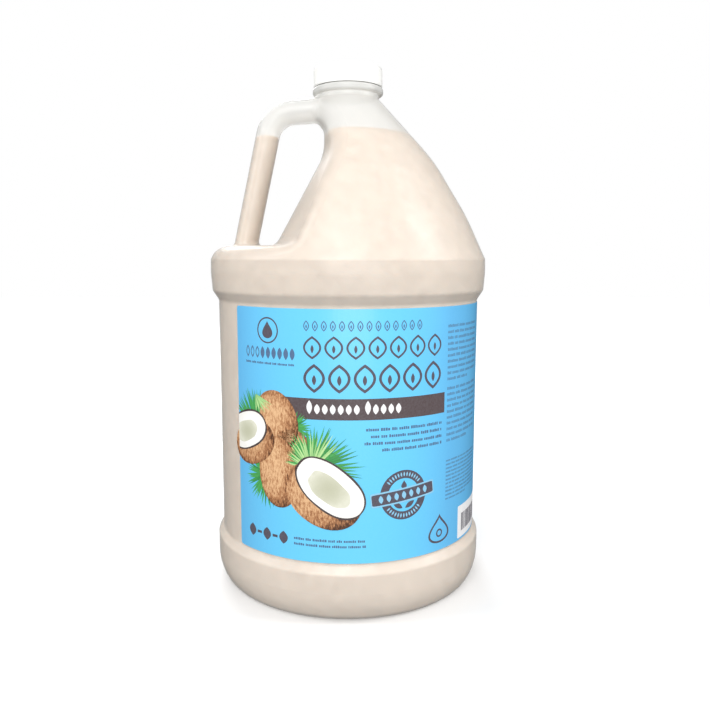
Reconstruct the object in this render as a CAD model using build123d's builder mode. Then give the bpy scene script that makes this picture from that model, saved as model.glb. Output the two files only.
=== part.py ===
"""One-gallon round jug of massage lotion with a moulded handle and a 38 mm screw cap.

Frame: millimetres, +Z up, origin on the jug's axis at the level of its foot ring.
The label faces -Y and the handle is on the -X side.
"""

import os

from build123d import *

# ---------------------------------------------------------------- driving dimensions
# turned form of the blow-moulded shell
wall = 1.2
ring_radius = 79.2
ring_height = 17.5
ring_bulge = 0.8
panel_recess = 4.2
panel_height = 133.1
panel_shoulder = 5.2
base_inset = 1.2
base_band_top = 27.5
base_step = 4.0
heel_width = 5.7
heel_height = 9.9
foot_width = 8.3
push_up_run = 12.0
push_up_height = 7.5

# shoulder cone: how far it has closed in, and how high, at its two bends and the neck
cone_low = (11.2, 23.9)
cone_high = (30.0, 54.9)
cone_height = 89.7

# recess behind the handle: outwards from the neck or inwards from the ring, down from the neck
shelf_above_ring = 7.2
recess_rim_rounding = 10.0
recess_depth = 37.5
recess_undercut = 3.8
recess_throat_drop = 31.2
recess_roof_drop = 10.8
recess_bulge_centre = 120.0

# handle tube
handle_width = 13.4
handle_depth = 21.0
handle_foot_set_back = 19.0
handle_elbow_set_back = 36.0
handle_elbow_drop = 7.8
handle_end_undercut = 5.4
handle_end_drop = 5.4
handle_bend = 16.0
handle_foot_blend = 3.0
handle_top_blend = 4.0

# threaded neck
neck_radius = 17.4
neck_wall = 1.7
bead_above_cone = 2.0
bead_height = 4.1
bead_width = 2.6
bead_rounding = 1.6
finish_height = 8.2
thread_pitch = 25.4 / 6
thread_depth = 1.05
thread_root_width = 2.3
thread_crest_width = 1.0
thread_gap_below = 1.15
thread_gap_above = 0.5

# contents and label
fill_below_neck = 21.4
label_thickness = 0.15
label_margin = 1.3
label_left_angle = 51.0
label_wrap_angle = 265.0

# closure
cap_gap = 0.35
cap_roof = 1.35
cap_skirt = 0.7
cap_edge = 0.6
cap_crest_clearance = 0.1
cap_root_clearance = 0.15
cap_thread_lift = 0.35
cap_thread_angle = 100.0
liner_thickness = 1.0
liner_clearance = 0.3
rib_count = 90
rib_height = 0.25
rib_width = 0.8

# ---------------------------------------------------------------- worked out
panel_radius = ring_radius - panel_recess
base_radius = ring_radius - base_inset
foot_radius = base_radius - heel_width - foot_width
push_up_radius = foot_radius - push_up_run
panel_bottom = base_band_top + base_step
panel_top = panel_bottom + panel_height
ring_bottom = panel_top + panel_shoulder
ring_top = ring_bottom + ring_height
neck_base = ring_top + cone_height
shelf_height = ring_top + shelf_above_ring
fill_height = neck_base - fill_below_neck
bore_radius = neck_radius - neck_wall
bead_bottom = neck_base + bead_above_cone
bead_top = bead_bottom + bead_height
land_height = bead_top + finish_height
thread_start = bead_top + thread_gap_below + thread_root_width / 2
thread_end = land_height - thread_gap_above - thread_root_width / 2
thread_turns = (thread_end - thread_start) / thread_pitch
cap_bottom = bead_top + cap_gap
cap_top = land_height + liner_thickness + cap_roof
cap_inner_radius = neck_radius + thread_depth + cap_crest_clearance
cap_radius = cap_inner_radius + cap_skirt
cap_thread_crest = neck_radius + cap_root_clearance
cap_thread_start = thread_start + thread_pitch * (cap_thread_angle / 360 - 0.5) + cap_thread_lift
far = 3 * ring_radius


# ---------------------------------------------------------------- blow-moulded form
def moved_left(corners, radii, distance):
    """An outline's corners and corner radii, once it is moved to its left by distance."""
    points = [Vector(*corner) for corner in corners]
    sides = [(b - a).normalized().rotate(Axis.Z, 90) for a, b in zip(points, points[1:])]
    before = [sides[0]] + sides
    after = sides + [sides[-1]]
    moved = [
        point + (a + b) * (distance / (1 + a.dot(b)))
        for point, a, b in zip(points, before, after)
    ]
    turns = [a.cross(b).Z for a, b in zip(sides, sides[1:])]
    rounded = [
        max(radius - distance if turn > 0 else radius + distance, 0)
        for radius, turn in zip(radii, turns)
    ]
    return moved, rounded


def turned_form(inset):
    """The round jug without its recess, moved in from the outer skin by inset."""
    outline = [
        (0, push_up_height),
        (push_up_radius, push_up_height),
        (foot_radius, 0),
        (base_radius - heel_width, 0),
        (base_radius, heel_height),
        (base_radius, base_band_top),
        (panel_radius, panel_bottom),
        (panel_radius, panel_top),
        (ring_radius - ring_bulge, ring_bottom),
        (ring_radius, ring_bottom + 0.6 * ring_height),
        (ring_radius - 0.2 * ring_bulge, ring_top),
        (ring_radius - cone_low[0], ring_top + cone_low[1]),
        (ring_radius - cone_high[0], ring_top + cone_high[1]),
        (neck_radius, neck_base),
        (neck_radius, land_height),
        (0, land_height),
    ]
    radii = [12, 4, 7.4, 26.6, 2.5, 2.5, 3, 4, 30, 2.5, 120, 100, 3, 0]
    corners, radii = moved_left(outline, radii, inset)
    with BuildPart() as form:
        with BuildSketch(Plane.XZ):
            with BuildLine():
                FilletPolyline(*corners, radius=radii)
                Line(corners[-1], corners[0])
            make_face()
        revolve(axis=Axis.Z)
    return form.part


def recess_cutter(inset):
    """What the mould leaves out behind the handle: above the shelf, below the arch."""
    outline = [
        (-far, shelf_height),
        (recess_depth - ring_radius, shelf_height),
        (recess_undercut - neck_radius, neck_base - recess_throat_drop),
        (recess_undercut - neck_radius, neck_base - recess_roof_drop),
        (-far, neck_base - recess_roof_drop),
    ]
    corners, radii = moved_left(outline, [8, 30, 9], -inset)
    with BuildPart() as cutter:
        with BuildSketch(Plane.XZ):
            with BuildLine():
                FilletPolyline(*corners, radius=radii)
                Line(corners[-1], corners[0])
            make_face()
        revolve(axis=Axis((recess_bulge_centre, 0, 0), (0, 0, 1)))
    return cutter.part


def handle_tube(inset):
    """The handle as a solid bar of oval section, thinner all round by inset."""
    with BuildPart() as tube:
        with BuildLine(Plane.XZ) as route:
            FilletPolyline(
                (handle_foot_set_back - ring_radius, shelf_height - 2 * wall),
                (handle_elbow_set_back - ring_radius, neck_base - handle_elbow_drop),
                (handle_end_undercut - neck_radius, neck_base - handle_end_drop),
                radius=handle_bend,
            )
        path = route.wires()[0]
        with BuildSketch(Plane(origin=path @ 0, x_dir=(0, 1, 0), z_dir=path % 0)):
            Ellipse(handle_depth / 2 - inset, handle_width / 2 - inset)
        sweep(path=path)
    return tube.part


def jug_form(inset):
    """The whole closed shape of the jug, its skin moved in by inset."""
    with BuildPart() as form:
        add(turned_form(inset))
        add(recess_cutter(inset), mode=Mode.SUBTRACT)
        fillet(form.edges(Select.NEW), recess_rim_rounding - inset)
        add(handle_tube(inset))
        joints = form.edges(Select.NEW).sort_by(Axis.Z)
        fillet(joints[0], handle_foot_blend + inset)
        fillet(joints[1:], handle_top_blend + inset)
    return form.part


def thread_ridge(root_radius, crest_radius, start_height):
    """One helical ridge between two radii; the crest may face in or out."""
    centre = (0, 0, start_height)
    with BuildPart() as ridge:
        with BuildLine():
            rise = Helix(thread_pitch, thread_pitch * thread_turns, root_radius, center=centre)
        with BuildSketch(Plane(origin=rise @ 0, x_dir=(1, 0, 0), z_dir=rise % 0)):
            reach = crest_radius - root_radius
            sink = -0.15 if reach > 0 else 0.15
            with BuildLine():
                Polyline(
                    (sink, -thread_root_width / 2),
                    (reach, -thread_crest_width / 2),
                    (reach, thread_crest_width / 2),
                    (sink, thread_root_width / 2),
                    close=True,
                )
            make_face()
        sweep(path=rise, is_frenet=True)
    return ridge.part


# ---------------------------------------------------------------- lotion
with BuildPart() as cavity:
    add(jug_form(wall))
    with Locations((0, 0, neck_base)):
        Box(far, far, far, align=(Align.CENTER, Align.CENTER, Align.MIN), mode=Mode.SUBTRACT)

with BuildPart() as lotion_fill:
    add(cavity.part)
    with Locations((0, 0, fill_height)):
        Box(far, far, far, align=(Align.CENTER, Align.CENTER, Align.MIN), mode=Mode.SUBTRACT)
lotion_fill.part.label = "lotion_fill"

# ---------------------------------------------------------------- jug
with BuildPart() as jug_body:
    add(jug_form(0))
    with BuildSketch(Plane.XZ):
        with Locations((0, bead_bottom + bead_height / 2)):
            Rectangle(2 * (neck_radius + bead_width), bead_height)
        fillet(vertices(), bead_rounding)
        with Locations((-far / 2, bead_bottom)):
            Rectangle(far, far, mode=Mode.SUBTRACT)
    revolve(axis=Axis.Z)
    add(thread_ridge(neck_radius, neck_radius + thread_depth, thread_start))
    add(cavity.part, mode=Mode.SUBTRACT)
    with Locations((0, 0, neck_base - 3 * wall)):
        Cylinder(
            bore_radius,
            land_height - neck_base + 3 * wall,
            align=(Align.CENTER, Align.CENTER, Align.MIN),
            mode=Mode.SUBTRACT,
        )
jug_body.part.label = "jug_body"

# ---------------------------------------------------------------- label
with BuildPart() as wrap_label:
    with BuildSketch(Plane.XY.offset(panel_bottom + label_margin)):
        with BuildLine():
            start = -90 - label_left_angle
            outer = CenterArc((0, 0), panel_radius + label_thickness, start, label_wrap_angle)
            inner = CenterArc((0, 0), panel_radius, start, label_wrap_angle)
            Line(outer @ 0, inner @ 0)
            Line(outer @ 1, inner @ 1)
        make_face()
    extrude(amount=panel_height - 2 * label_margin)
wrap_label.part.label = "wrap_label"

# ---------------------------------------------------------------- closure
with BuildPart() as cap:
    with BuildSketch(Plane.XY.offset(cap_bottom)):
        Circle(cap_radius)
    extrude(amount=cap_top - cap_bottom)
    fillet(cap.edges().sort_by(Axis.Z)[-1], cap_edge)
    with BuildSketch(Plane.XY.offset(cap_bottom + cap_edge)):
        with PolarLocations(cap_radius, rib_count):
            Rectangle(2 * rib_height, rib_width)
    extrude(amount=cap_top - cap_bottom - 3 * cap_edge)
    with BuildSketch(Plane.XY.offset(cap_bottom)):
        Circle(cap_inner_radius)
    extrude(amount=cap_top - cap_roof - cap_bottom, mode=Mode.SUBTRACT)
    ridge = thread_ridge(cap_inner_radius, cap_thread_crest, cap_thread_start)
    add(ridge.rotate(Axis.Z, cap_thread_angle))
cap.part.label = "cap"

with BuildPart() as cap_liner:
    with BuildSketch(Plane.XY.offset(land_height)):
        Circle(cap_inner_radius - liner_clearance)
    extrude(amount=liner_thickness)
cap_liner.part.label = "cap_liner"

os.makedirs("parts", exist_ok=True)
for piece in (jug_body, lotion_fill, wrap_label, cap, cap_liner):
    export_step(piece.part, f"parts/{piece.part.label}.step")
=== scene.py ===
# %% [markdown]
# # A one-gallon jug of massage lotion
#
# A round blow-moulded jug stands on a pale floor. Its wall is clear, slightly milky plastic,
# and cream-coloured lotion shows through it up to a level just below the neck. A hollow
# handle is moulded into the shoulder, a ribbed white cap closes the neck, and a blue film
# label is wrapped round the panel.
#
# The shell, the lotion, the cap and its liner come from the CAD frame, which has their
# real shapes. This script gives them their finishes, and it prints the label: a film with
# a picture and rows of marks on it, each of them a thin layer of its own.

import math

import bpy
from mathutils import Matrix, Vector


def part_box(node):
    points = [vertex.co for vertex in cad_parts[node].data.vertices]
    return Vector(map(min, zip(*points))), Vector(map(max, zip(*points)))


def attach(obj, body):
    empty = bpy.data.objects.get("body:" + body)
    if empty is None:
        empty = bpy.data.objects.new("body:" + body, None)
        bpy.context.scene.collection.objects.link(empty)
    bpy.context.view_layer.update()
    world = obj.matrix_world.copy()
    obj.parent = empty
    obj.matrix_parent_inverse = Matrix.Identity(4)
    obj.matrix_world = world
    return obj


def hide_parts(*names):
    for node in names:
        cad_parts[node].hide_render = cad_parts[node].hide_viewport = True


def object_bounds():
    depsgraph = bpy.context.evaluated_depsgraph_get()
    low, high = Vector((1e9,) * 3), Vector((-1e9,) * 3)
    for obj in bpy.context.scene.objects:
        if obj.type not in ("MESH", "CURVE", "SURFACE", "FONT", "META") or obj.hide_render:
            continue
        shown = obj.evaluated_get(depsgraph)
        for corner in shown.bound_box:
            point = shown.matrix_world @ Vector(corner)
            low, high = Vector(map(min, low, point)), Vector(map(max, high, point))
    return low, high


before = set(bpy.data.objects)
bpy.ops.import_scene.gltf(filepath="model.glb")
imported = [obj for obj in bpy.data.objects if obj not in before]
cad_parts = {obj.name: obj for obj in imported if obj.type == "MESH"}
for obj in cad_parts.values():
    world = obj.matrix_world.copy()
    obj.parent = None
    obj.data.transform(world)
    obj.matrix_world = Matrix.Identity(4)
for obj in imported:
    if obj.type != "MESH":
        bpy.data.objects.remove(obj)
cad_low, cad_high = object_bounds()
bpy.ops.object.select_all(action="DESELECT")
print("CAD box, mm:", [round(1000 * value, 1) for value in (*cad_low, *cad_high)])

# %% [markdown]
# ## The camera
#
# A product picture of a jug is taken from close by, a little below its shoulder, so that
# the base shows a curved front edge while the cap is seen from slightly below. The camera
# stands on the jug's front axis and tilts down a few degrees. A very small sideways shift
# of the lens puts the jug just left of the middle of the frame. A Track To constraint could
# aim the camera, but plain numbers keep the framing exactly as it is.

# %% Place the camera
CAMERA_DISTANCE = 0.4277
CAMERA_HEIGHT = 0.1886
CAMERA_TILT = 0.1349
FOCAL_LENGTH = 36.67
LENS_SHIFT = 0.0099

camera_data = bpy.data.cameras.new("studio_camera")
camera_data.lens = FOCAL_LENGTH
camera_data.sensor_width = 36.0
camera_data.shift_x = LENS_SHIFT
camera_data.clip_start = 0.01
camera = bpy.data.objects.new("studio_camera", camera_data)
camera.location = (0.0, -CAMERA_DISTANCE, CAMERA_HEIGHT)
camera.rotation_euler = (math.pi / 2 - CAMERA_TILT, 0.0, 0.0)
bpy.context.scene.collection.objects.link(camera)
bpy.context.scene.camera = camera
print("camera at", tuple(round(value, 3) for value in camera.location))

# %% [markdown]
# ## Colours and shader maths
#
# A printer thinks of colours as 8-bit values on a screen, while a renderer adds up light,
# which is linear. One function turns the first into the second.

# %% Screen colours to light
def paint(red, green, blue):
    """A linear colour from 8-bit screen values."""
    channels = []
    for value in (red, green, blue):
        value /= 255
        if value <= 0.04045:
            channels.append(value / 12.92)
        else:
            channels.append(((value + 0.055) / 1.055) ** 2.4)
    return (*channels, 1.0)


print("a middle grey on a screen is", round(paint(128, 128, 128)[0], 3), "of full light")

# %% [markdown]
# Material maths reads best as ordinary expressions. A small class wraps a node's output
# socket, and each operator on it adds a Math node, so 1 - mask is all it takes to turn a
# mask round.

# %% A socket that can be reckoned with
class Signal:
    """An output socket that ordinary arithmetic works on."""

    def __init__(self, tree, socket):
        self.tree = tree
        self.socket = socket

    def math(self, operation, *values):
        node = self.tree.nodes.new("ShaderNodeMath")
        node.operation = operation
        for slot, value in enumerate(values):
            if isinstance(value, Signal):
                self.tree.links.new(value.socket, node.inputs[slot])
            else:
                node.inputs[slot].default_value = value
        return Signal(self.tree, node.outputs[0])

    def __add__(self, other):
        return self.math("ADD", self, other)

    def __sub__(self, other):
        return self.math("SUBTRACT", self, other)

    def __rsub__(self, other):
        return self.math("SUBTRACT", other, self)

    def __mul__(self, other):
        return self.math("MULTIPLY", self, other)

    def __truediv__(self, other):
        return self.math("DIVIDE", self, other)

    def __pow__(self, other):
        return self.math("POWER", self, other)

    def clamped(self):
        """Kept between 0 and 1."""
        return self.math("MAXIMUM", self.math("MINIMUM", self, 1.0), 0.0)

    __radd__ = __add__
    __rmul__ = __mul__


print("operators on a signal:", [name for name in vars(Signal) if name.startswith("__r")])

# %% [markdown]
# Finish is one material with the Principled shader that Blender starts it with. Constants
# go straight on the shader's sockets. What changes over a surface is a signal, and feed
# links it to a socket.

# %% One material
class Finish:
    """One material with a single main shader."""

    def __init__(self, name, **constants):
        self.material = bpy.data.materials.new(name)
        self.material.use_nodes = True
        self.tree = self.material.node_tree
        self.shader = self.tree.nodes["Principled BSDF"]
        for socket, value in constants.items():
            self.shader.inputs[socket.replace("_", " ")].default_value = value
        print("finish", name)

    def node(self, kind, settings=None, output=0, **inputs):
        """Adds a node: its settings first, then values or signals on its sockets."""
        node = self.tree.nodes.new("ShaderNode" + kind)
        for key, value in (settings or {}).items():
            setattr(node, key, value)
        for key, value in inputs.items():
            socket = node.inputs[key.replace("_", " ")]
            if isinstance(value, Signal):
                self.tree.links.new(value.socket, socket)
            else:
                socket.default_value = value
        return Signal(self.tree, node.outputs[output])

    def place(self):
        """Where a point is on the object, in metres."""
        return self.node("TexCoord", output="Object")

    def noise(self, place, scale, detail=2.0, roughness=0.5):
        return self.node(
            "TexNoise", Vector=place, Scale=scale, Detail=detail, Roughness=roughness
        )

    def mix(self, factor, first, second):
        """Blends two colours, each a value or a signal."""
        node = self.tree.nodes.new("ShaderNodeMix")
        node.data_type = "RGBA"
        for slot, value in ((0, factor), (6, first), (7, second)):
            if isinstance(value, Signal):
                self.tree.links.new(value.socket, node.inputs[slot])
            else:
                node.inputs[slot].default_value = value
        return Signal(self.tree, node.outputs[2])

    def parts(self, vector):
        """The X, Y and Z of a vector."""
        node = self.tree.nodes.new("ShaderNodeSeparateXYZ")
        self.tree.links.new(vector.socket, node.inputs[0])
        return [Signal(self.tree, socket) for socket in node.outputs]

    def bump(self, height, strength, distance):
        normal = self.node("Bump", Height=height, Strength=strength, Distance=distance)
        self.feed(Normal=normal)

    def feed(self, **signals):
        for socket, signal in signals.items():
            self.tree.links.new(signal.socket, self.shader.inputs[socket.replace("_", " ")])
        return self


def dress(piece, finish):
    """Puts one finish on a whole piece."""
    piece.data.materials.clear()
    piece.data.materials.append(finish.material)


# %% [markdown]
# ## The clear shell
#
# The wall is about a millimetre of clear, slightly milky plastic. Looking straight
# through it, the wall is hardly there. At a glancing angle the eye looks through more of
# it, and the outline turns into a soft grey line. Full refraction would show that too,
# but it makes the lotion behind it noisy and slow. Here the wall is mostly see-through,
# and a Layer Weight node makes it denser towards the outline. Blow moulding leaves faint
# waves and a slightly uneven gloss, which a bump and a varied roughness give. Clear
# plastic lets the light in to what it holds, so the shell casts no shadow. The neck is
# thicker than the body, and looks milkier.

# %% Finish of the shell
NECK_START = 0.2765
NECK_FADE = 0.003
MILKINESS = 0.36
EDGE_MILKINESS = 0.40
NECK_MILKINESS = 0.4
WAVE_MILKINESS = 0.03


def shell_finish():
    finish = Finish("natural_plastic", Base_Color=paint(222, 222, 219), IOR=1.48)
    place = finish.place()
    _, _, height = finish.parts(place)
    neck = ((height - NECK_START) / NECK_FADE).clamped()
    waves = finish.noise(place, 22.0, detail=1.0)
    grain = finish.noise(place, 420.0, detail=3.0)
    glancing = finish.node("LayerWeight", Blend=0.5, output="Facing")
    milky = MILKINESS + EDGE_MILKINESS * glancing**6 + WAVE_MILKINESS * waves
    finish.feed(
        Alpha=(milky + NECK_MILKINESS * neck).clamped(),
        Roughness=0.24 + 0.08 * waves + 0.05 * grain,
    )
    finish.bump(waves + 0.03 * grain, 0.25, 0.0012)
    return finish


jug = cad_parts["jug_body"]
dress(jug, shell_finish())
jug.visible_shadow = False
print("shell:", len(jug.data.polygons), "faces")

# %% [markdown]
# ## The lotion
#
# The lotion is an opaque cream. It touches the wall all over, so the jug's gloss is seen
# on top of it, and a coat on the lotion's own shader gives that gloss without any
# refraction. A little subsurface scattering softens the shadow side, as in milk. Streaks
# where it was poured, and a fine mottle where it clings unevenly to the wall, change the
# colour very slightly. A round wall of clear plastic works as a lens: it magnifies what it
# holds, so that the lotion seems to reach almost to the outside. This wall doesn't
# refract, so a copy of the CAD solid is spread three quarters of a millimetre into the
# wall instead. The copy's loose triangles are merged first, or they would come apart.

# %% Finish of the lotion
MERGE_DISTANCE = 0.00001
LOTION_SPREAD = 0.00075
SMOOTH_ANGLE = math.radians(32)


def lotion_finish():
    finish = Finish(
        "lotion",
        Subsurface_Weight=0.25,
        Subsurface_Radius=(0.006, 0.004, 0.0028),
        Subsurface_Scale=0.6,
        Coat_Roughness=0.3,
    )
    place = finish.place()
    streaks = finish.noise(place, 9.0, detail=2.0)
    cloud = finish.noise(place, 60.0, detail=2.0)
    mottle = finish.noise(place, 170.0, detail=4.0)
    blend = (0.5 * (streaks - 0.5) + 1.8 * (mottle - 0.5) + 0.5).clamped()
    cream = finish.mix(blend, paint(199, 180, 161), paint(218, 201, 183))
    finish.feed(
        Base_Color=cream,
        Roughness=0.42 + 0.12 * cloud,
        Coat_Weight=0.12 + 0.1 * streaks,
    )
    finish.bump(finish.noise(place, 22.0, detail=1.0), 0.2, 0.0012)
    return finish


def pick(piece):
    """Selects one piece only, and makes it active."""
    bpy.ops.object.select_all(action="DESELECT")
    piece.select_set(True)
    bpy.context.view_layer.objects.active = piece


def merged_copy(node_name, piece_name):
    """A CAD node's shape as a new piece, with its loose triangles merged."""
    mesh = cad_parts[node_name].data.copy()
    mesh.name = piece_name
    piece = bpy.data.objects.new(piece_name, mesh)
    bpy.context.scene.collection.objects.link(piece)
    pick(piece)
    bpy.ops.object.mode_set(mode="EDIT")
    bpy.ops.mesh.select_all(action="SELECT")
    bpy.ops.mesh.remove_doubles(threshold=MERGE_DISTANCE)
    bpy.ops.object.mode_set(mode="OBJECT")
    return piece


lotion = merged_copy("lotion_fill", "lotion")
spread = lotion.modifiers.new("spread", "DISPLACE")
spread.mid_level = 0.0
spread.strength = LOTION_SPREAD
bpy.ops.object.modifier_apply(modifier=spread.name)
bpy.ops.object.shade_smooth_by_angle(angle=SMOOTH_ANGLE)
dress(lotion, lotion_finish())
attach(lotion, "jug")
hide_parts("lotion_fill")
print("lotion faces", len(lotion.data.polygons))

# %% [markdown]
# ## Cap and liner
#
# The cap is injection-moulded white plastic: satin, with a fine spark-eroded texture
# from the mould on its top. The liner is a disc of white foam with tiny cells, seen only
# when the cap is lifted. The CAD meshes have the ribs, the thread and the rims, so nothing
# is modelled here. What is too fine for a mesh, the grain and the cells, is a bump.

# %% Finishes of the closure
def cap_finish():
    finish = Finish("white_plastic", IOR=1.49, Coat_Weight=0.15, Coat_Roughness=0.25)
    place = finish.place()
    grain = finish.noise(place, 1500.0, detail=2.0)
    cloud = finish.noise(place, 90.0, detail=2.0)
    white = finish.mix(cloud, paint(244, 244, 241), paint(250, 250, 248))
    finish.feed(Base_Color=white, Roughness=0.34 + 0.12 * grain)
    finish.bump(grain, 0.12, 0.0002)
    return finish


def liner_finish():
    finish = Finish("liner_foam", Roughness=0.8)
    cells = finish.node("TexVoronoi", Vector=finish.place(), Scale=1400.0)
    foam = finish.mix(cells.clamped(), paint(214, 214, 208), paint(238, 238, 232))
    finish.feed(Base_Color=foam)
    finish.bump(cells, 0.4, 0.0003)
    return finish


dress(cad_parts["cap"], cap_finish())
dress(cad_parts["cap_liner"], liner_finish())

# %% [markdown]
# ## The label film
#
# The label is one sheet of printed film, wrapped most of the way round the panel. Artwork
# is drawn flat, as a label printer would draw it, in millimetres to the right of the
# jug's front line and millimetres above the floor. The frame gives the film's box, and the
# box gives its radius, its left edge and its height.

# %% Sizes of the label
MM = 0.001
LABEL_TURN = math.radians(265)

label_low, label_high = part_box("wrap_label")
LABEL_RADIUS = label_high.x
LABEL_LEFT = math.asin(label_low.x / LABEL_RADIUS) * LABEL_RADIUS / MM
LABEL_RIGHT = LABEL_LEFT + LABEL_TURN * LABEL_RADIUS / MM
LABEL_BOTTOM = label_low.z / MM
LABEL_TOP = label_high.z / MM
print("label from", round(LABEL_LEFT, 1), "to", round(LABEL_RIGHT, 1), "mm round the jug")
print("and from", round(LABEL_BOTTOM, 1), "to", round(LABEL_TOP, 1), "mm above the floor")

# %% [markdown]
# A finish on the label needs to know where it is on the flat drawing, because that is how
# a picture is printed. Two maps are stored before anything is bent: sheet runs over the
# whole label in units of a tenth of a metre, and own runs from -1 to 1 across one piece.

# %% Maps of the flat drawing
SHEET_UNIT = 100.0


def add_flat_maps(piece):
    """Stores both maps; a piece that brings its own map keeps it."""
    mesh = piece.data
    corners = [vertex.co for vertex in mesh.vertices]
    low = [min(corner[axis] for corner in corners) for axis in (0, 1)]
    high = [max(corner[axis] for corner in corners) for axis in (0, 1)]
    has_own = "own" in mesh.uv_layers
    mesh.uv_layers.new(name="sheet")
    if not has_own:
        mesh.uv_layers.new(name="own")
    sheet = mesh.uv_layers["sheet"].data
    own = mesh.uv_layers["own"].data
    for loop in mesh.loops:
        corner = corners[loop.vertex_index]
        sheet[loop.index].uv = (corner.x / SHEET_UNIT, corner.y / SHEET_UNIT)
        if not has_own:
            across = 2 * (corner.x - low[0]) / (high[0] - low[0]) - 1
            up = 2 * (corner.y - low[1]) / (high[1] - low[1]) - 1
            own[loop.index].uv = (across, up)


print("one unit of the sheet map is", SHEET_UNIT, "mm")

# %% [markdown]
# A Simple Deform modifier bends a flat piece round the jug. Its angle is the piece's width
# divided by the jug's radius, so nothing stretches. A long flat polygon can't bend, so each
# piece is first cut into narrow upright strips with bisect. Solidify then gives it a
# thickness, and each layer lies a hair above the one before it.

# %% Bend a flat piece round the jug
STRIP = 2.5
LAYER = 0.03
INK_THICKNESS = 0.02


def cut_into_strips(piece):
    """Bisects a flat piece along upright lines that all the layers share."""
    left = min(vertex.co.x for vertex in piece.data.vertices)
    right = max(vertex.co.x for vertex in piece.data.vertices)
    bpy.ops.object.mode_set(mode="EDIT")
    for step in range(math.ceil(left / STRIP), math.floor(right / STRIP) + 1):
        bpy.ops.mesh.select_all(action="SELECT")
        bpy.ops.mesh.bisect(plane_co=(step * STRIP, 0, 0), plane_no=(1, 0, 0))
    bpy.ops.object.mode_set(mode="OBJECT")


def apply_new(piece, kind, **settings):
    """Adds a modifier with its settings and applies it."""
    modifier = piece.modifiers.new(kind.lower(), kind)
    for key, value in settings.items():
        setattr(modifier, key, value)
    bpy.ops.object.modifier_apply(modifier=modifier.name)


def wrap(piece, layer, finish, thickness=INK_THICKNESS):
    """Turns a flat drawing in millimetres into a thin layer on the jug."""
    pick(piece)
    add_flat_maps(piece)
    cut_into_strips(piece)
    piece.scale = (MM, MM, MM)
    piece.rotation_euler.x = math.pi / 2
    piece.location.y = -layer * LAYER * MM
    bpy.ops.object.transform_apply(location=True, rotation=True, scale=True)
    angle = piece.dimensions.x / LABEL_RADIUS
    apply_new(piece, "SIMPLE_DEFORM", deform_method="BEND", deform_axis="Z", angle=angle)
    apply_new(piece, "SOLIDIFY", thickness=thickness * MM, offset=-1)
    piece.location.y = -LABEL_RADIUS
    bpy.ops.object.transform_apply(location=True, rotation=False, scale=False)
    dress(piece, finish)
    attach(piece, "jug")
    print(piece.name, len(piece.data.polygons), "faces")


print("strips are", STRIP, "mm wide, and layers", LAYER, "mm apart")

# %% [markdown]
# The film itself starts as a grid primitive, moved to the label's place. A piece cut out
# of a cylinder would have the same shape, but a sheet that is bent later can be drawn on
# while it is flat. Its finish is a glossy pale blue, with painted light that makes it
# lighter across the front and darker towards both sides, and it ripples a little where it
# was pressed on, which a faint bump shows.

# %% Film
FILM_THICKNESS = 0.12
FILM_CORNER = 1.5


def film_finish():
    finish = Finish("label_film", IOR=1.45, Coat_Roughness=0.2)
    sheet = finish.node("UVMap", {"uv_map": "sheet"})
    across, _, _ = finish.parts(sheet)
    # Painted light: middle makes the blue lighter across the front of the jug and leaves it
    # darker towards both sides.
    middle = (1 - ((across + 0.02) / 0.62) ** 2).clamped()
    dots = finish.noise(finish.place(), 900.0, detail=1.0)
    ripple = finish.noise(finish.place(), 35.0, detail=1.0)
    blue = finish.mix(middle, paint(98, 184, 236), paint(104, 206, 248))
    finish.feed(
        Base_Color=finish.mix(0.12 * dots, blue, paint(150, 225, 252)),
        Roughness=0.38 + 0.08 * ripple,
        Coat_Weight=0.25 + 0.1 * ripple,
    )
    finish.bump(ripple, 0.12, 0.0008)
    return finish


def flat_sheet(name, left, right, bottom, top):
    """A flat grid between two pairs of edges, in millimetres."""
    bpy.ops.mesh.primitive_grid_add(x_subdivisions=8, y_subdivisions=2, size=1)
    sheet = bpy.context.object
    sheet.name = name
    sheet.scale = (right - left, top - bottom, 1)
    sheet.location = ((left + right) / 2, (bottom + top) / 2, 0)
    bpy.ops.object.transform_apply(location=True, rotation=False, scale=True)
    return sheet


def ease_corners(piece, radius):
    """Rounds the four corners of a flat sheet."""
    pick(piece)
    bpy.ops.object.mode_set(mode="EDIT")
    bpy.ops.mesh.select_all(action="SELECT")
    bpy.ops.mesh.dissolve_limited(angle_limit=0.01)
    bpy.ops.mesh.select_all(action="SELECT")
    bpy.ops.mesh.bevel(offset=radius, segments=4, affect="VERTICES")
    bpy.ops.object.mode_set(mode="OBJECT")


film = flat_sheet("label_film", LABEL_LEFT, LABEL_RIGHT, LABEL_BOTTOM, LABEL_TOP)
ease_corners(film, FILM_CORNER)
wrap(film, 0, film_finish(), thickness=FILM_THICKNESS)
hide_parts("wrap_label")

# %% [markdown]
# ## Printed inks
#
# Ink is a very thin layer, slightly less glossy than the film. An image is the usual way
# to print a label, but shapes stay sharp from any distance and catch the light as ink
# does. Seen close up, print is uneven: fine noise lets a little grey through, and varies
# the gloss.

# %% Inks
def ink_finish(name, colour, roughness):
    finish = Finish(name, IOR=1.45)
    dots = finish.noise(finish.place(), 1100.0, detail=1.0)
    worn = finish.mix(0.25 * dots, colour, paint(150, 150, 158))
    finish.feed(Base_Color=worn, Roughness=roughness + 0.1 * dots)
    return finish


dark_ink = ink_finish("dark_ink", paint(76, 70, 84), 0.45)
soft_ink = ink_finish("soft_ink", paint(70, 106, 146), 0.5)
faint_ink = ink_finish("faint_ink", paint(78, 136, 178), 0.5)
white_ink = ink_finish("white_ink", paint(250, 250, 250), 0.4)
pale_ink = ink_finish("pale_ink", paint(140, 205, 238), 0.45)

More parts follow.
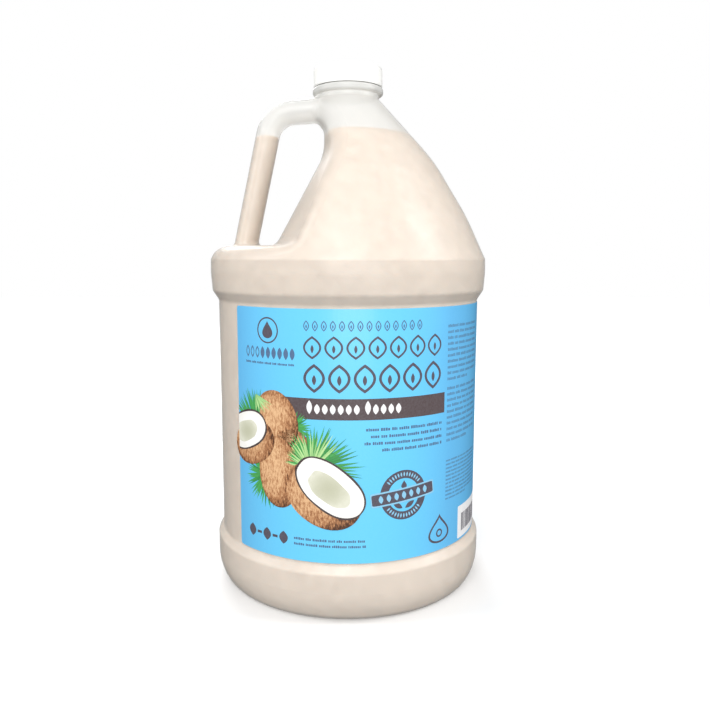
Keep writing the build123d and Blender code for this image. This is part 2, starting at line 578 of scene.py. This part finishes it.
# %% [markdown]
# Each printed shape is a closed outline, a list of points that is worked out from a centre
# and a size. The points could be placed by hand, but then every new size means placing
# them again. Four outlines are enough for the whole label: an oval, a leaf, a drop and a
# bar. Where one outline lies inside another, the fill of a curve leaves a hole, so a ring
# is just two outlines.

# %% Outlines
OVAL_POINTS = 64
LEAF_POINTS = 14
DROP_POINTS = 40


def turned(x, y, across, up, tilt):
    """A point at a distance across and up from a centre, turned about that centre."""
    turned_x = across * math.cos(tilt) - up * math.sin(tilt)
    turned_y = across * math.sin(tilt) + up * math.cos(tilt)
    return (x + turned_x, y + turned_y)


def oval(x, y, width, height, tilt=0.0, fullness=2.0, wobble=0.0):
    """A fullness above 2 squares the oval up, and a wobble makes it uneven."""
    outline = []
    for step in range(OVAL_POINTS):
        angle = 2 * math.pi * step / OVAL_POINTS
        across = math.cos(angle)
        up = math.sin(angle)
        across = math.copysign(abs(across) ** (2 / fullness), across) * width / 2
        up = math.copysign(abs(up) ** (2 / fullness), up) * height / 2
        uneven = 1 + wobble * (math.sin(3 * angle + 1) + 0.6 * math.sin(7 * angle + 2))
        outline.append(turned(x, y, across * uneven, up * uneven, tilt))
    return outline


def leaf_shape(x, y, width, height, tilt=0.0):
    """A pointed oval, standing on one point."""
    outline = []
    for side in (1, -1):
        for step in range(LEAF_POINTS):
            along = side * (2 * step / LEAF_POINTS - 1)
            across = side * (1 - along**2) * width / 2
            outline.append(turned(x, y, across, along * height / 2, tilt))
    return outline


def drop_shape(x, y, width, height):
    """A drop with its point up."""
    outline = []
    for step in range(DROP_POINTS):
        angle = 2 * math.pi * step / DROP_POINTS
        taper = (1 + math.cos(angle)) / 2
        across = math.sin(angle) * (1 - taper**1.5) * width / 1.55
        outline.append((x - across, y + math.cos(angle) * height / 2))
    return outline


def bar(left, right, bottom, top):
    return [(left, bottom), (right, bottom), (right, top), (left, top)]


print("an oval has", len(oval(0, 0, 1, 1)), "points, a leaf", len(leaf_shape(0, 0, 1, 1)))

# %% [markdown]
# The marks stand for words without spelling any. A heading is a row of leaf outlines, and
# small type is bars in word-like groups. The groups come from a random generator with its
# own seed, so each line is always the same.

# %% Rows of marks
import random


def leaf_ring(x, y, width, height, stroke):
    """Two outlines that leave a leaf-shaped stroke, and a small leaf inside it."""
    inner_width = width - 2 * stroke
    inner_height = height - 2 * stroke / math.sin(math.atan(2 * width / height))
    ring = [leaf_shape(x, y, width, height), leaf_shape(x, y, inner_width, inner_height)]
    seed = leaf_shape(x, y - 0.06 * height, 1.5 * stroke, 0.36 * height)
    return ring + [seed]


def leaf_row(left, right, bottom, top, count, stroke, fill=0.82):
    """A row of leaf outlines that stands for a line of large type."""
    pitch = (right - left) / count
    row = []
    for place in range(count):
        x = left + (place + 0.5) * pitch
        row += leaf_ring(x, (bottom + top) / 2, fill * pitch, top - bottom, stroke)
    return row


def type_bars(left, right, middle, height, seed):
    """Small bars in groups, which read as a line of small type."""
    chance = random.Random(seed)
    bars = []
    x = left
    while x < right:
        for _ in range(chance.randint(3, 8)):
            width = height * chance.uniform(0.35, 0.6)
            tall = height * chance.choice((0.36, 0.36, 0.5))
            if x + width < right:
                bars.append(bar(x, x + width, middle - 0.36 * height, middle + tall))
            x += width + 0.16 * height
        x += 0.45 * height
    return bars


def type_column(left, right, top, pitch, lines, seed):
    """Lines of small type under each other, the last one short."""
    column = []
    for line in range(lines):
        end = right if line < lines - 1 else left + 0.6 * (right - left)
        column += type_bars(left, end, top - pitch * line, 0.58 * pitch, seed=seed + line)
    return column


print("a line of 50 mm has", len(type_bars(0, 50, 0, 2, seed=0)), "bars")

# %% [markdown]
# Printing fills the outlines. A 2D curve does that by itself, holes included, and convert
# turns the filled curve into a mesh that can be wrapped.

# %% Print a drawing
def printed(name, outlines, layer, finish):
    """Fills closed outlines as a flat curve, makes them a mesh and wraps them."""
    curve = bpy.data.curves.new(name, "CURVE")
    curve.dimensions = "2D"
    curve.fill_mode = "BOTH"
    for outline in outlines:
        spline = curve.splines.new("POLY")
        spline.points.add(len(outline) - 1)
        for point, (x, y) in zip(spline.points, outline):
            point.co = (x, y, 0, 1)
        spline.use_cyclic_u = True
    piece = bpy.data.objects.new(name, curve)
    bpy.context.scene.collection.objects.link(piece)
    pick(piece)
    bpy.ops.object.convert(target="MESH")
    wrap(piece, layer, finish)


# %% [markdown]
# The headings are two large rows of leaf outlines with a finer row above them. Each row
# is one piece, because its marks share an ink and never move apart.

# %% Headings
FINE_LEFT = -23.2
FINE_RIGHT = 39.9
HEADING_LEFT = -23.4
HEADING_RIGHT = 53.0

fine_row = leaf_row(
    FINE_LEFT, FINE_RIGHT, bottom=152.2, top=157.6, count=14, stroke=0.5, fill=0.66
)
printed("print_heading_fine", fine_row, 1, soft_ink)
upper_row = leaf_row(
    HEADING_LEFT, HEADING_RIGHT, bottom=138.3, top=149.9, count=7, stroke=1.05, fill=0.86
)
printed("print_heading_upper", upper_row, 1, dark_ink)
lower_row = leaf_row(
    HEADING_LEFT, HEADING_RIGHT, bottom=121.4, top=136.0, count=6, stroke=1.4, fill=0.88
)
printed("print_heading_lower", lower_row, 1, dark_ink)

# %% [markdown]
# Under the headings a dark band carries a row of small white leaves, in two groups that
# each start with a taller one. The band is a grid like the film, so that it bends with it,
# and the leaves lie one layer higher.

# %% Band
MARK_PITCH = 4.0
MARK_WIDTH = 2.9
SMALL_MARK = 5.2
TALL_MARK = 7.0
FIRST_MARK_X = -19.6
MARK_FOOT = 110.6
GROUP_GAP = 1.6

band = flat_sheet("print_band", left=-36.0, right=55.4, bottom=107.8, top=118.6)
wrap(band, 1, ink_finish("band_ink", paint(80, 64, 64), 0.45))

band_marks = []
for place in range(12):
    x = FIRST_MARK_X + place * MARK_PITCH + (place > 6) * GROUP_GAP
    tall = TALL_MARK if place in (0, 7) else SMALL_MARK
    band_marks.append(leaf_shape(x, MARK_FOOT + tall / 2, MARK_WIDTH, tall))
printed("print_band_marks", band_marks, 2, white_ink)

# %% [markdown]
# The maker's corner has a plain round badge with a drop in it, a row of small leaves and
# a line of small marks. The foot of the label has three bold leaves joined by dashes.

# %% Badge and bold marks
BADGE_X = -43.3
BADGE_Y = 151.8
NAME_X = -57.4
NAME_Y = 140.3
NAME_PITCH = 3.6
BOLD_X = -56.0
BOLD_Y = 43.9
BOLD_PITCH = 10.6
DASH_X = -52.3
DASH_LENGTH = 3.2

badge = [oval(BADGE_X, BADGE_Y, width, width) for width in (13.4, 11.9)]
badge += [drop_shape(BADGE_X, BADGE_Y + 0.4, width=6.6, height=9.0)]
printed("print_badge", badge, 1, dark_ink)

name_row = []
for place in range(9):
    x = NAME_X + place * NAME_PITCH
    name_row.append(leaf_shape(x, NAME_Y, width=2.7, height=6.2))
    if place < 3:
        name_row.append(leaf_shape(x, NAME_Y, width=1.7, height=4.2))
printed("print_name_row", name_row, 1, soft_ink)

bold_marks = []
for place in range(3):
    bold_marks.append(leaf_shape(BOLD_X + place * BOLD_PITCH, BOLD_Y, width=5.2, height=7.0))
for place in range(2):
    left = DASH_X + place * BOLD_PITCH
    bold_marks.append(bar(left, left + DASH_LENGTH, bottom=43.1, top=44.5))
printed("print_bold_marks", bold_marks, 1, dark_ink)

# %% [markdown]
# The copy beside the picture is set flush right. Two short lines stand beside the bold
# marks, and one stands under the badge's row.

# %% Small type on the front
COPY_RIGHT = 53.5
COPY_TOP = 102.7
COPY_PITCH = 3.55
FOOT_LEFT = -28.6
FOOT_RIGHT = 9.2

small_type = []
for line, left in enumerate((9.1, 11.6, 8.3, 17.4)):
    middle = COPY_TOP - COPY_PITCH * line
    small_type += type_bars(left, COPY_RIGHT, middle, height=1.75, seed=line)
small_type += type_bars(FOOT_LEFT, FOOT_RIGHT, middle=44.6, height=1.5, seed=11)
small_type += type_bars(FOOT_LEFT, FOOT_RIGHT, middle=41.7, height=1.5, seed=12)
small_type += type_bars(-59.0, -26.8, middle=134.8, height=1.3, seed=13)
printed("print_small_type", small_type, 1, soft_ink)

# %% [markdown]
# Columns of finer type run round the side and the back, and one more heading stands over
# the last of them.

# %% Columns of type
SIDE_LEFT = 57.6
SIDE_RIGHT = 94.0
BACK_LEFT = 112.0
BACK_RIGHT = 160.0
LAST_LEFT = 180.0
LAST_RIGHT = 262.0

side_type = type_column(SIDE_LEFT, SIDE_RIGHT, top=153.0, pitch=3.1, lines=10, seed=20)
side_type += type_column(SIDE_LEFT, SIDE_RIGHT, top=120.0, pitch=3.1, lines=10, seed=40)
side_type += type_column(SIDE_LEFT, SIDE_RIGHT, top=81.0, pitch=2.1, lines=11, seed=60)
printed("print_side_type", side_type, 1, faint_ink)

back_type = type_column(BACK_LEFT, BACK_RIGHT, top=150.0, pitch=3.1, lines=14, seed=80)
back_type += type_column(BACK_LEFT, BACK_RIGHT, top=98.0, pitch=3.1, lines=9, seed=100)
printed("print_back_type", back_type, 1, faint_ink)

back_row = leaf_row(LAST_LEFT, LAST_RIGHT, bottom=140.0, top=152.0, count=8, stroke=1.15)
printed("print_back_heading", back_row, 1, dark_ink)
last_type = type_column(LAST_LEFT, LAST_RIGHT, top=130.0, pitch=3.6, lines=16, seed=120)
printed("print_last_type", last_type, 1, faint_ink)

# %% [markdown]
# The round seal is a broad ring with two leaves and a drop inside it, and a ring of small
# pale marks in place of words. The marks are turned one by one to point outwards, and
# each of them has its mirror on the other half of the ring.

# %% Seal
SEAL_X = 29.5
SEAL_Y = 67.6
SEAL_LEAF_TILT = math.radians(58)
MARK_RING = 10.95
MARK_STEP = math.radians(8.5)

seal = [oval(SEAL_X, SEAL_Y, width, width) for width in (26.2, 17.6)]
for side in (1, -1):
    leaf_x = SEAL_X + side * 3.4
    tilt = -side * SEAL_LEAF_TILT
    seal.append(leaf_shape(leaf_x, SEAL_Y - 5.4, width=2.6, height=6.2, tilt=tilt))
seal.append(drop_shape(SEAL_X, SEAL_Y + 5.6, width=3.2, height=4.4))
printed("print_seal", seal, 1, dark_ink)

seal_marks = []
for step in range(-6, 7):
    for side in (1, -1):
        angle = side * math.pi / 2 + step * MARK_STEP
        x = SEAL_X + MARK_RING * math.cos(angle)
        y = SEAL_Y + MARK_RING * math.sin(angle)
        tilt = angle - math.pi / 2
        seal_marks.append(leaf_shape(x, y, width=0.85, height=2.5, tilt=tilt))
printed("print_seal_marks", seal_marks, 2, pale_ink)

# %% [markdown]
# A tilted banner lies across the seal. It is drawn twice, a pale shape and a slightly
# smaller dark one on it, which leaves a thin pale edge.

# %% Banner
BANNER_X = SEAL_X + 0.2
BANNER_TILT = math.radians(6.5)
SQUARENESS = 16
BANNER_PITCH = 4.2

banner_edge = oval(BANNER_X, SEAL_Y, 36.6, 7.6, BANNER_TILT, SQUARENESS)
printed("print_banner_edge", [banner_edge], 3, pale_ink)
banner = oval(BANNER_X, SEAL_Y, 35.4, 5.9, BANNER_TILT, SQUARENESS)
printed("print_banner", [banner], 4, dark_ink)
banner_marks = []
for place in range(-3, 4):
    x = SEAL_X + place * BANNER_PITCH
    y = SEAL_Y + place * BANNER_PITCH * math.tan(BANNER_TILT)
    banner_marks.append(leaf_shape(x, y, width=2.4, height=4.2, tilt=BANNER_TILT))
printed("print_banner_marks", banner_marks, 5, pale_ink)

# %% [markdown]
# A drop outline and a white patch finish the foot. The patch carries upright stripes of
# random widths, which stand for a scanner's code and don't code anything.

# %% Drop and striped patch
DROP_X = 53.0
RING_Y = 42.4
PATCH_CORNER = 0.8
STRIPES_LEFT = 74.6
STRIPES_RIGHT = 99.5

drop = [drop_shape(DROP_X, 45.0, width=16.0, height=16.2)]
drop += [drop_shape(DROP_X, 44.6, width=13.4, height=13.2)]
drop += [oval(DROP_X, RING_Y, width, width) for width in (4.6, 2.8)]
printed("print_drop", drop, 1, dark_ink)

patch = flat_sheet("print_patch", left=70.2, right=104.0, bottom=33.9, top=52.4)
ease_corners(patch, PATCH_CORNER)
wrap(patch, 1, white_ink)
stripes = []
stripe_x = STRIPES_LEFT
chance = random.Random(7)
while stripe_x < STRIPES_RIGHT:
    width = chance.choice((0.35, 0.35, 0.7, 1.05))
    stripes.append(bar(stripe_x, stripe_x + width, bottom=37.4, top=47.6))
    stripe_x += width + chance.choice((0.4, 0.4, 0.8))
printed("print_stripes", stripes, 2, dark_ink)

# %% [markdown]
# ## The picture
#
# The picture is coconuts and palm leaves. Real balls pressed flat would shade themselves,
# but a picture's light is printed and doesn't move. A whole coconut is one oval, and its
# finish shades it like a ball: the piece's own map runs from -1 to 1 across it, so
# the distance from the middle gives the ball's slope. Stretched noise is the brown
# fibre, and it runs along the nut.

# %% Finish of the husk
def husk_finish():
    finish = Finish("husk_ink", Roughness=0.55)
    own = finish.node("UVMap", {"uv_map": "own"})
    across, up, _ = finish.parts(own)
    ball = (1 - across**2 - up**2).clamped() ** 0.5
    light = (0.24 + 0.66 * ball - 0.22 * across + 0.14 * up).clamped()
    sheet = finish.node("UVMap", {"uv_map": "sheet"})
    threads = finish.node("Mapping", Vector=sheet, Scale=(1.0, 0.35, 1.0), Rotation=(0, 0, 0.35))
    fibre = finish.noise(threads, 95.0, detail=6.0, roughness=0.8)
    patch_noise = finish.noise(sheet, 14.0, detail=2.0)
    tone = (light - 0.06 + 3.4 * (fibre - 0.5) + 0.6 * (patch_noise - 0.5)).clamped()
    shade = finish.mix((2 * tone).clamped(), paint(82, 50, 32), paint(178, 122, 80))
    finish.feed(Base_Color=finish.mix((2 * tone - 1).clamped(), shade, paint(230, 186, 140)))
    return finish


husk = husk_finish()

# %% [markdown]
# A half coconut is four ovals on each other: husk, dark shell edge, white flesh and the
# hollow. Flesh and hollow share one finish, which blends two colours from the middle
# outwards, with a cloudy noise in between.

# %% Finishes of the cut face
def flesh_finish(name, middle, edge):
    finish = Finish(name, Roughness=0.4)
    own = finish.node("UVMap", {"uv_map": "own"})
    across, up, _ = finish.parts(own)
    reach = (across**2 + up**2).clamped()
    milk = finish.noise(own, 2.5, detail=3.0)
    finish.feed(Base_Color=finish.mix((reach * (0.4 + milk)).clamped(), middle, edge))
    return finish


rim = ink_finish("shell_rim_ink", paint(62, 44, 36), 0.5)
flesh = flesh_finish("flesh_ink", paint(255, 255, 253), paint(246, 244, 238))
hollow = flesh_finish("hollow_ink", paint(196, 197, 172), paint(226, 226, 208))

# %% [markdown]
# Two functions draw them. A real print is cut off at the film's edge. Here the outlines of
# a cut face are held back instead, to a third of a millimetre inside the left edge.

# %% Coconuts
PICTURE_LEFT = LABEL_LEFT + 0.3
HUSK_FULLNESS = 2.1
FACE_FULLNESS = 2.25
HOLLOW_FULLNESS = 2.4
SHELL_EDGE = 1.9


def coconut(name, x, y, width, height, lean, layer):
    outline = oval(x, y, width, height, math.radians(lean), HUSK_FULLNESS)
    printed(name, [outline], layer, husk)


def half_coconut(name, x, y, width, height, lean, layer):
    """The cut face of a half: a dark edge, the flesh and its hollow."""
    lean = math.radians(lean)
    edge = oval(x, y, width + SHELL_EDGE, height + SHELL_EDGE, lean, FACE_FULLNESS)
    face = oval(x, y, width, height, lean, FACE_FULLNESS, wobble=0.009)
    inside = oval(
        x - 0.5, y - 0.7, 0.62 * width, 0.58 * height, lean, HOLLOW_FULLNESS, wobble=0.03
    )
    drawn = [(name + "_rim", edge, rim), (name + "_flesh", face, flesh)]
    drawn += [(name + "_hollow", inside, hollow)]
    for step, (part, outline, finish) in enumerate(drawn):
        outline = [(max(across, PICTURE_LEFT), up) for across, up in outline]
        printed(part, [outline], layer + step, finish)


print("cut faces start at", round(PICTURE_LEFT, 1), "mm from the front line")

# %% [markdown]
# A palm leaf is a fan of narrow blades. Each blade has its own shade, which White Noise
# draws from the blade's number. The whole part of its map's first coordinate is that
# number, and the rest runs from the stalk to the tip, where the green gets lighter. A
# lighter vein runs along the middle.

# %% Finish of the leaves
def leaf_finish(name, deep, bright):
    finish = Finish(name, Roughness=0.5)
    own = finish.node("UVMap", {"uv_map": "own"})
    along, across, _ = finish.parts(own)
    number = along.math("FLOOR", along)
    shade = finish.node("TexWhiteNoise", {"noise_dimensions": "1D"}, W=number)
    tip = along - number
    vein = 1 - (across.math("ABSOLUTE", across) * 5).clamped()
    tone = (0.15 + 0.55 * shade + 0.35 * tip + 0.35 * vein).clamped()
    finish.feed(Base_Color=finish.mix(tone, deep, bright))
    return finish


deep_leaf = leaf_finish("deep_leaf_ink", paint(22, 106, 62), paint(84, 178, 92))
bright_leaf = leaf_finish("bright_leaf_ink", paint(62, 158, 74), paint(196, 232, 160))

# %% [markdown]
# One blade is made from a grid, pinched to a point at both ends and curved a little to one
# side. It gets its map while it is still square, and keeps it through the pinching. Pinched
# corners leave doubled points, which are merged. The blade is one unit long and is never
# seen itself: every blade of a fan is a copy of it, which keeps a fan's faces few.

# %% Pattern of a blade
bpy.ops.mesh.primitive_grid_add(x_subdivisions=8, y_subdivisions=2, size=2)
blade = bpy.context.object
blade.name = "blade_pattern"
blade_map = blade.data.uv_layers.new(name="own").data
for loop in blade.data.loops:
    corner = blade.data.vertices[loop.vertex_index].co
    blade_map[loop.index].uv = (0.02 + 0.48 * (corner.x + 1), corner.y)
for vertex in blade.data.vertices:
    along = (vertex.co.x + 1) / 2
    vertex.co.y *= 0.5 * math.sin(math.pi * along**0.75)
    vertex.co.y += 0.25 * along**2
    vertex.co.x = along
pick(blade)
bpy.ops.object.mode_set(mode="EDIT")
bpy.ops.mesh.select_all(action="SELECT")
bpy.ops.mesh.remove_doubles(threshold=0.001)
bpy.ops.object.mode_set(mode="OBJECT")
for layer_map in list(blade.data.uv_layers):
    if layer_map.name != "own":
        blade.data.uv_layers.remove(layer_map)
print("a blade has", len(blade.data.polygons), "faces")

# %% [markdown]
# A fan copies the blade, each copy with its own length, turn and width, and joins the
# copies into one piece. Each blade lies a hair above the one before it, so that overlaps
# stay clean, and bisect trims what would hang over the film's left edge.

# %% Palm leaves
FAN_RISE = 0.8 * LAYER


def keep_on_film(piece):
    pick(piece)
    bpy.ops.object.mode_set(mode="EDIT")
    bpy.ops.mesh.select_all(action="SELECT")
    edge = (PICTURE_LEFT, 0, 0)
    bpy.ops.mesh.bisect(plane_co=edge, plane_no=(1, 0, 0), clear_inner=True)
    bpy.ops.object.mode_set(mode="OBJECT")


def palm_leaf(name, x, y, first, last, count, short, long, width, layer, finish):
    """A fan of blades from one point, between two directions in degrees."""
    chance = random.Random(name)
    blades = []
    for place in range(count):
        share = place / (count - 1)
        copy = bpy.data.objects.new(name, blade.data.copy())
        bpy.context.scene.collection.objects.link(copy)
        length = (short + share * (long - short)) * chance.uniform(0.86, 1.06)
        turn = first + share * (last - first) + chance.uniform(-3, 3)
        copy.scale = (length, width * chance.uniform(0.8, 1.15), 1)
        copy.rotation_euler.z = math.radians(turn)
        copy.location = (x, y, FAN_RISE * place / count)
        for loop_uv in copy.data.uv_layers["own"].data:
            loop_uv.uv.x += place
        blades.append(copy)
    bpy.ops.object.select_all(action="DESELECT")
    for copy in blades:
        copy.select_set(True)
    bpy.context.view_layer.objects.active = blades[0]
    bpy.ops.object.join()
    fan = blades[0]
    fan.name = name
    bpy.ops.object.transform_apply(location=True, rotation=True, scale=True)
    keep_on_film(fan)
    wrap(fan, layer, finish)


print("blades rise", round(FAN_RISE, 3), "mm over a fan")

# %% [markdown]
# The pieces are laid down from back to front, and each call says where a piece is, how
# large it is and which layer it lies on. First come the leaves and whole coconuts at the
# back.

# %% Back of the picture
palm_leaf(
    "leaf_low_left", x=-45, y=76, first=132, last=284,
    count=24, short=14, long=18, width=1.5, layer=1, finish=deep_leaf,
)
palm_leaf(
    "leaf_right_small", x=-29, y=103, first=66, last=-38,
    count=12, short=9, long=12, width=1.2, layer=2, finish=deep_leaf,
)
coconut("coconut_back", x=-38.5, y=105.5, width=25, height=32, lean=18, layer=3)
coconut("coconut_behind", x=-29.5, y=90, width=22, height=24, lean=0, layer=3)
palm_leaf(
    "leaf_top_left", x=-51, y=99, first=158, last=82,
    count=22, short=22, long=22, width=1.5, layer=4, finish=deep_leaf,
)
palm_leaf(
    "leaf_pale", x=-52, y=118, first=-92, last=-22,
    count=10, short=9, long=13, width=0.9, layer=5, finish=bright_leaf,
)
coconut("coconut_middle", x=-37.5, y=78.5, width=24.5, height=37.5, lean=4, layer=4)

# %% [markdown]
# Then come the two halves, each on its husk, with the large fan between them.

# %% Front of the picture
coconut("coconut_left_husk", x=-54.6, y=92.2, width=31, height=23, lean=25, layer=6)
half_coconut("coconut_left", x=-59.8, y=98.0, width=30, height=18.5, lean=22, layer=7)
palm_leaf(
    "leaf_large_back", x=-18, y=83, first=168, last=-14,
    count=34, short=16, long=27, width=1.6, layer=5, finish=deep_leaf,
)
palm_leaf(
    "leaf_large_front", x=-19, y=82, first=166, last=40,
    count=18, short=15, long=22, width=1.1, layer=6, finish=bright_leaf,
)
coconut("coconut_front_husk", x=-13, y=68.3, width=43, height=31.6, lean=-30, layer=8)
half_coconut("coconut_front", x=-9.2, y=72.5, width=39.5, height=22, lean=-38, layer=9)
bpy.data.objects.remove(blade)

# %% [markdown]
# ## The studio
#
# The floor is a wide pale sheet. Far from the jug it has a little light of its own, so that
# it fades into the white behind it. A sheet curved up behind the jug would hide the
# horizon too, but only from the front. Close to the jug the floor keeps its soft shadow,
# and it sends no light back up, which would wash out the base.

# %% Floor
FLOOR_SIZE = 6.0
GLOW_START = 0.1
GLOW_FADE = 0.5


def floor_finish():
    finish = Finish("pale_floor", Roughness=0.55)
    place = finish.place()
    cloud = finish.noise(place, 6.0, detail=3.0)
    across, along, _ = finish.parts(place)
    distance = (across**2 + along**2) ** 0.5
    glow = ((distance - GLOW_START) / GLOW_FADE).clamped()
    finish.feed(
        Base_Color=finish.mix(cloud, paint(238, 238, 238), paint(243, 243, 243)),
        Emission_Color=finish.mix(glow, paint(70, 70, 70), paint(214, 214, 214)),
    )
    finish.shader.inputs["Emission Strength"].default_value = 1.0
    return finish


bpy.ops.mesh.primitive_plane_add(size=FLOOR_SIZE, location=(0.0, 0.0, cad_low.z))
floor = bpy.context.object
floor.name = "floor"
dress(floor, floor_finish())
floor.visible_diffuse = False
floor.visible_glossy = False
bpy.ops.object.select_all(action="DESELECT")

# %% [markdown]
# The key light is large and soft, and stands high in front, a little to the left. A weak
# light low in front opens the shadows under the ring, a tall light at each side draws a
# soft streak down the plastic, and one behind lifts the outline off the white. Small lamps
# would leave hard dots on the gloss, so all of them are area lights.

# %% Lights
LIGHT_AIM = Vector((0.0, 0.0, 0.15))


def soft_light(name, place, size, watts):
    light = bpy.data.lights.new(name, "AREA")
    light.shape = "RECTANGLE"
    light.size, light.size_y = size
    light.energy = watts
    lamp = bpy.data.objects.new(name, light)
    lamp.location = place
    aim = LIGHT_AIM - Vector(place)
    lamp.rotation_euler = aim.to_track_quat("-Z", "Y").to_euler()
    bpy.context.scene.collection.objects.link(lamp)
    print("light", name, watts, "W")


soft_light("key_light", place=(-0.15, -1.3, 1.1), size=(0.9, 0.9), watts=15.4)
soft_light("front_light", place=(0.1, -1.5, 0.2), size=(0.9, 0.4), watts=6.0)
soft_light("right_light", place=(1.0, -0.2, 0.8), size=(0.3, 0.8), watts=6.0)
soft_light("left_light", place=(-1.0, -0.2, 0.9), size=(0.3, 0.8), watts=4.5)
soft_light("rim_light", place=(-0.3, 1.1, 0.9), size=(0.8, 0.5), watts=8.0)

# %% [markdown]
# Beyond the floor everything is white. The camera sees that white at full strength, and
# the jug gets about half of it as fill, which keeps its own colours from washing out. The
# Light Path node tells the two apart. The world isn't mirrored in the plastic, because a
# white reflection all over would hide the lights' streaks.

# %% White surroundings
SKY_FILL = 0.47

world = bpy.data.worlds.new("white_studio")
world.use_nodes = True
bpy.context.scene.world = world
sky = world.node_tree.nodes["Background"]
path = world.node_tree.nodes.new("ShaderNodeLightPath")
seen = world.node_tree.nodes.new("ShaderNodeMapRange")
seen.inputs["To Min"].default_value = SKY_FILL
seen.inputs["To Max"].default_value = 1.0
world.node_tree.links.new(path.outputs["Is Camera Ray"], seen.inputs["Value"])
world.node_tree.links.new(seen.outputs["Result"], sky.inputs["Strength"])
sky.inputs["Color"].default_value = (1.0, 1.0, 1.0, 1.0)
world.cycles_visibility.glossy = False
bpy.context.scene.view_settings.view_transform = "Standard"
print("the sky fills with", SKY_FILL, "of its white")

# %% [markdown]
